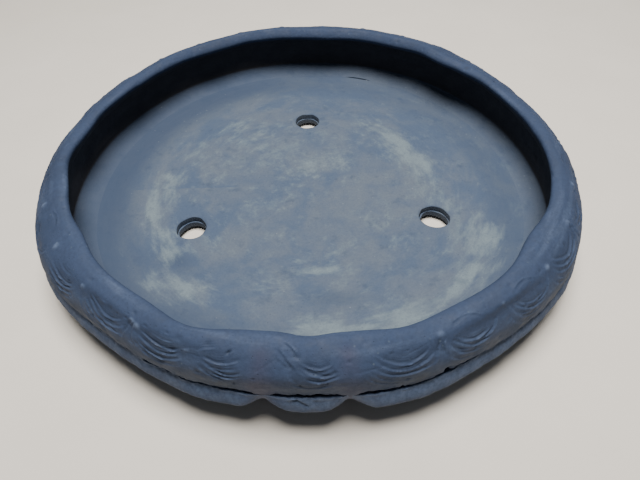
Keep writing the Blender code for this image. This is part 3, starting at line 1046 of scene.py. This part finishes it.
def wall_clay():
    n = Nodes("slate_clay")
    middle = n.noise(9, 5, 0.6)
    colour = n.mix(n.remap(n.noise(38, 3), 0.32, 0.68), SLATE_DEEP, SLATE)
    colour = n.mix(n.remap(middle, 0.30, 0.72, 0.25, 0.95), colour, SLATE)
    wiped = n.noise(7, 5, 0.6, n.polar(0.018))
    colour = n.mix(n.remap(wiped, 0.5, 0.8, 0.0, 0.35), colour, SLATE_LIGHT)
    earthy = n.times(n.attribute("earthy"), n.remap(n.noise(12, 4), 0.3, 0.65))
    colour = n.mix(n.times(earthy, 0.85), colour, EARTH)
    warm = n.times(n.attribute("warm"), n.remap(n.noise(15, 4), 0.25, 0.6, 0.35, 1.0))
    colour = n.mix(n.times(warm, 0.75), colour, MAUVE)
    # Painted light: the pale layer lightens the lower outside and the tops of the skirt's lobes.
    pale = n.times(n.attribute("pale"), n.remap(n.noise(10, 4), 0.25, 0.7, 0.5, 1.0))
    colour = n.mix(pale, colour, SLATE_LIGHT)
    # Painted highlight on the carved crests and on the skirt's upper edge.
    crest = n.times(n.attribute("crest"), n.remap(middle, 0.25, 0.6, 0.35, 1.0))
    colour = n.mix(n.times(crest, 0.85), colour, SLATE_LIGHT)
    # Painted shade in the carved grooves, dents and where the skirt tucks into the groove.
    colour = n.mix(n.times(n.attribute("cavity_shade"), 0.8), colour, SLATE_DARK)
    dust = n.times(n.spots(4.5, 0.16), n.remap(n.noise(20, 2), 0.45, 0.62))
    colour = n.mix(n.times(dust, 0.35), colour, DUST)
    specks = n.spots(2.6, 0.15)
    colour = n.mix(n.times(specks, 0.6), colour, SPECK)
    colour = n.mix(n.remap(n.noise(1.6, 6, 0.65), 0.35, 0.7, 0.0, 0.5), colour, SLATE_DEEP)
    inside, _ = floor_colour(n)
    colour = n.mix(n.attribute("cove"), colour, inside)
    # Painted shade on the inside wall under the lip.
    colour = n.mix(n.times(n.attribute("inner_wall_shade"), 0.8), colour, INNER_WALL_SHADE)
    normal = n.bump(n.noise(0.9, 5, 0.7), 0.55, 0.16)
    normal = n.bump(n.noise(3.4, 4, 0.6), 0.55, 0.4, normal)
    normal = n.bump(n.times(specks, -1.0), 0.6, 0.3, normal)
    return n.finish(colour, n.remap(middle, 0.3, 0.7, 0.66, 0.86), 0.3, normal)


def floor_clay():
    n = Nodes("wiped_floor_clay")
    colour, strokes = floor_colour(n)
    # Painted shade at the rims of the drain holes.
    colour = n.mix(n.attribute("cavity_shade"), colour, SLATE_DARK)
    colour = n.mix(n.times(n.attribute("warm"), 0.6), colour, MAUVE)
    colour = n.mix(n.times(n.attribute("earthy"), 0.6), colour, EARTH)
    normal = n.bump(n.noise(1.2, 6, 0.7), 0.5, 0.16)
    normal = n.bump(strokes, 0.5, 0.35, normal)
    normal = n.bump(n.noise(5, 4, 0.6), 0.5, 0.5, normal)
    return n.finish(colour, n.remap(strokes, 0.3, 0.7, 0.80, 0.95), 0.2, normal)


# ---- The pot ----

def wall_and_rim(clay):
    low_s = LOW_JOINT - WIDEST
    ledge_s = SKIRT_TOP - 0.6 - WIDEST
    under_ledge = np.linspace(low_s, ledge_s, 9)[:-1]
    over_ledge = np.linspace(ledge_s, 0, 13)[:-1]
    up_wall = np.concatenate((under_ledge, over_ledge, np.linspace(0, JOINT_S, 21)))
    down_wall = np.linspace(INNER_JOINT_S, INNER_LOW_S, 24)
    ring_piece("wall_coil", clay, RING_COLUMNS, up_wall, down_wall)
    roll = np.linspace(JOINT_S, NOSE_START_S, 43)[:-1]
    up_rim = np.concatenate((roll, np.linspace(NOSE_START_S, NOSE_END_S, 20)))
    down_rim = np.linspace(0, INNER_JOINT_S, 8)[1:]
    ring_piece("rim_coil", clay, RING_COLUMNS, up_rim, down_rim)


def base(clay):
    up_base = np.concatenate((
        [-WIDEST, -WIDEST + 0.5, -WIDEST + 1.2], np.linspace(-WIDEST + 2.2, LOW_JOINT - WIDEST, 14),
    ))
    down_base = np.linspace(INNER_LOW_S, INNER_S[-1], 16)
    foot = (
        (FLOOR, 8.0), (FLOOR, 4.0), (FLOOR, 1.2), (FLOOR + 0.8, 0.2), (FLOOR + 4, 0), (FLOOR + 8, 0),
        (WALL - 14.2, 0),
    )
    ring_piece("base_coil", clay, BASE_COLUMNS, up_base, down_base, foot)


def skirt(clay):
    """From each middle: the short lobe over it, then the long one as far as the next."""
    lobes = (
        ("skirt_lobe_front", LIFT_FRONT, "skirt_band_right"),
        ("skirt_lobe_right", LIFT_BAND, "skirt_band_back"),
        ("skirt_lobe_left", LIFT_BAND, "skirt_band_left"),
    )
    for middle, (short, lift, long) in zip(MIDDLES, lobes):
        skirt_piece(short, middle - NOTCH_SHIFT, middle + NOTCH_SHIFT, clay, lift)
        skirt_piece(long, middle + NOTCH_SHIFT, middle + 120 - NOTCH_SHIFT, clay, LIFT_BAND)


# ---- Ground, light and camera ----

GROUND_HALF = 4.0  # half its width, in metres
LIGHT_PLACE = (0.03, 0.0, 1.15)
CAMERA_PLACE = (0.0064, -0.2507, 0.227)
CAMERA_TILT = 42.52  # degrees up from straight down
CAMERA_ROLL = -2.02
SENSOR = 36.0  # mm
LENS = 27.28125  # mm


def ground():
    mesh = bpy.data.meshes.new("ground")
    corners = [(x * GROUND_HALF, y * GROUND_HALF, 0) for x, y in ((-1, -1), (1, -1), (1, 1), (-1, 1))]
    mesh.from_pydata(corners, [], [(0, 1, 2, 3)])
    paint = Nodes("pale_ground")
    paint.link(paint.mix(paint.noise(60, 3), *GROUND), paint.shader.inputs["Base Color"])
    paint.shader.inputs["Roughness"].default_value = 0.9
    mesh.materials.append(paint.material)
    add_object("ground", mesh)


def light():
    world = bpy.data.worlds.new("studio")
    world.use_nodes = True
    background = world.node_tree.nodes["Background"]
    background.inputs["Color"].default_value = (0.85, 0.92, 1.0, 1.0)
    background.inputs["Strength"].default_value = 0.10
    bpy.context.scene.world = world

    softbox = bpy.data.lights.new("softbox", "AREA")
    softbox.shape = "DISK"
    softbox.size = 0.62
    softbox.energy = 30.0
    softbox.color = (1.0, 0.985, 0.96)
    add_object("softbox", softbox).location = LIGHT_PLACE


def camera():
    lens = bpy.data.cameras.new("camera")
    lens.sensor_width = SENSOR
    lens.lens = LENS
    lens.clip_start = 0.01
    view = add_object("camera", lens)
    tilt = Matrix.Rotation(math.radians(CAMERA_TILT), 4, "X")
    roll = Matrix.Rotation(math.radians(CAMERA_ROLL), 4, "Z")
    view.matrix_world = Matrix.Translation(CAMERA_PLACE) @ tilt @ roll
    bpy.context.scene.camera = view


slate_clay = wall_clay()
wiped_clay = floor_clay()
wall_and_rim(slate_clay)
base(slate_clay)
skirt(slate_clay)
upper_floor(wiped_clay)
lower_floor(wiped_clay)
ground()
light()
camera()
